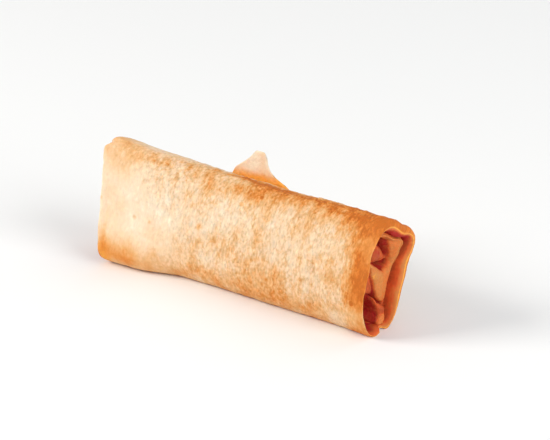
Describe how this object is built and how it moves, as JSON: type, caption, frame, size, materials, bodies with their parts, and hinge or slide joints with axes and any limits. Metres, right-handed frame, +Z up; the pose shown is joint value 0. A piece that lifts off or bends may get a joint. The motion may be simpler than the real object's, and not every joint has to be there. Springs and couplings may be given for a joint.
{
  "type": "fried spring roll",
  "caption": "Crisp fried spring roll of rolled pastry, pressed oval, with open tucked ends and the last corner of the sheet standing loose at the back.",
  "frame": {"origin": "middle of the base, on the surface that the roll stands on", "axes": "+X along the roll, +Z up, -Y out of the broad front face; the loose corner of the pastry stands at the back, on the +Y side"},
  "size_m": [0.1098, 0.0362, 0.044],
  "materials": {
    "fried_pastry": "crisp deep-fried wheat pastry, finely blistered, pale gold with browned edges and a light sheen of oil"
  },
  "bodies": {
    "root": {"spring_roll": "fried_pastry"}
  },
  "joints": []
}
